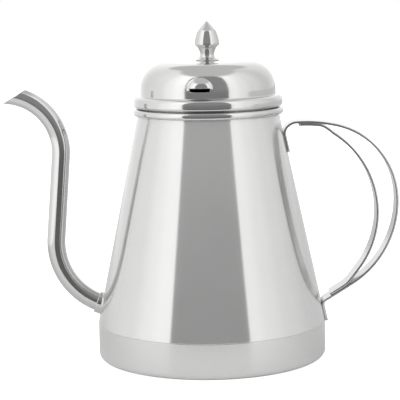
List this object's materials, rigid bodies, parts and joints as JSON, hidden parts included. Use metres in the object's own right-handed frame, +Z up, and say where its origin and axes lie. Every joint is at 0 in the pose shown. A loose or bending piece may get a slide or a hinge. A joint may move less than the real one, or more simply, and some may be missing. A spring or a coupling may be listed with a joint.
{
  "type": "gooseneck kettle",
  "caption": "Conical stovetop drip kettle in polished sheet steel, with a slim curved spout, a double-strip bow handle and a lift-off domed lid with a turned knob.",
  "frame": {"origin": "centre of the flat bottom face, on the body's axis", "axes": "+Z up along the body's axis, +X towards the handle, -X towards the spout, +Y to the back"},
  "size_m": [0.2316, 0.135, 0.1973],
  "materials": {
    "polished_body": "mirror-polished stainless steel",
    "satin_base": "fine satin stainless steel",
    "polished_spout": "polished stainless steel tube",
    "polished_strip": "polished stainless steel strip",
    "polished_lid": "mirror-polished stainless steel",
    "plain_steel": "plain rolled stainless steel",
    "turned_knob": "turned and polished stainless steel",
    "fastener": "plain machined stainless steel"
  },
  "bodies": {
    "kettle": {"body_shell": "polished_body", "base_pan": "satin_base", "mouth_ring": "polished_body", "spout_tube": "polished_spout", "spout_collar": "polished_spout", "handle_outer_strip": "polished_strip", "handle_inner_strip": "polished_strip"},
    "lid": {"lid_dome": "polished_lid", "lid_skirt": "plain_steel", "lid_knob": "turned_knob", "knob_screw": "fastener", "knob_washer": "fastener"}
  },
  "joints": [
    {"name": "lid_lift", "type": "slide", "parent": "kettle", "child": "lid", "axis": [0, 0, 1], "range_m": [0, 0.06]}
  ]
}
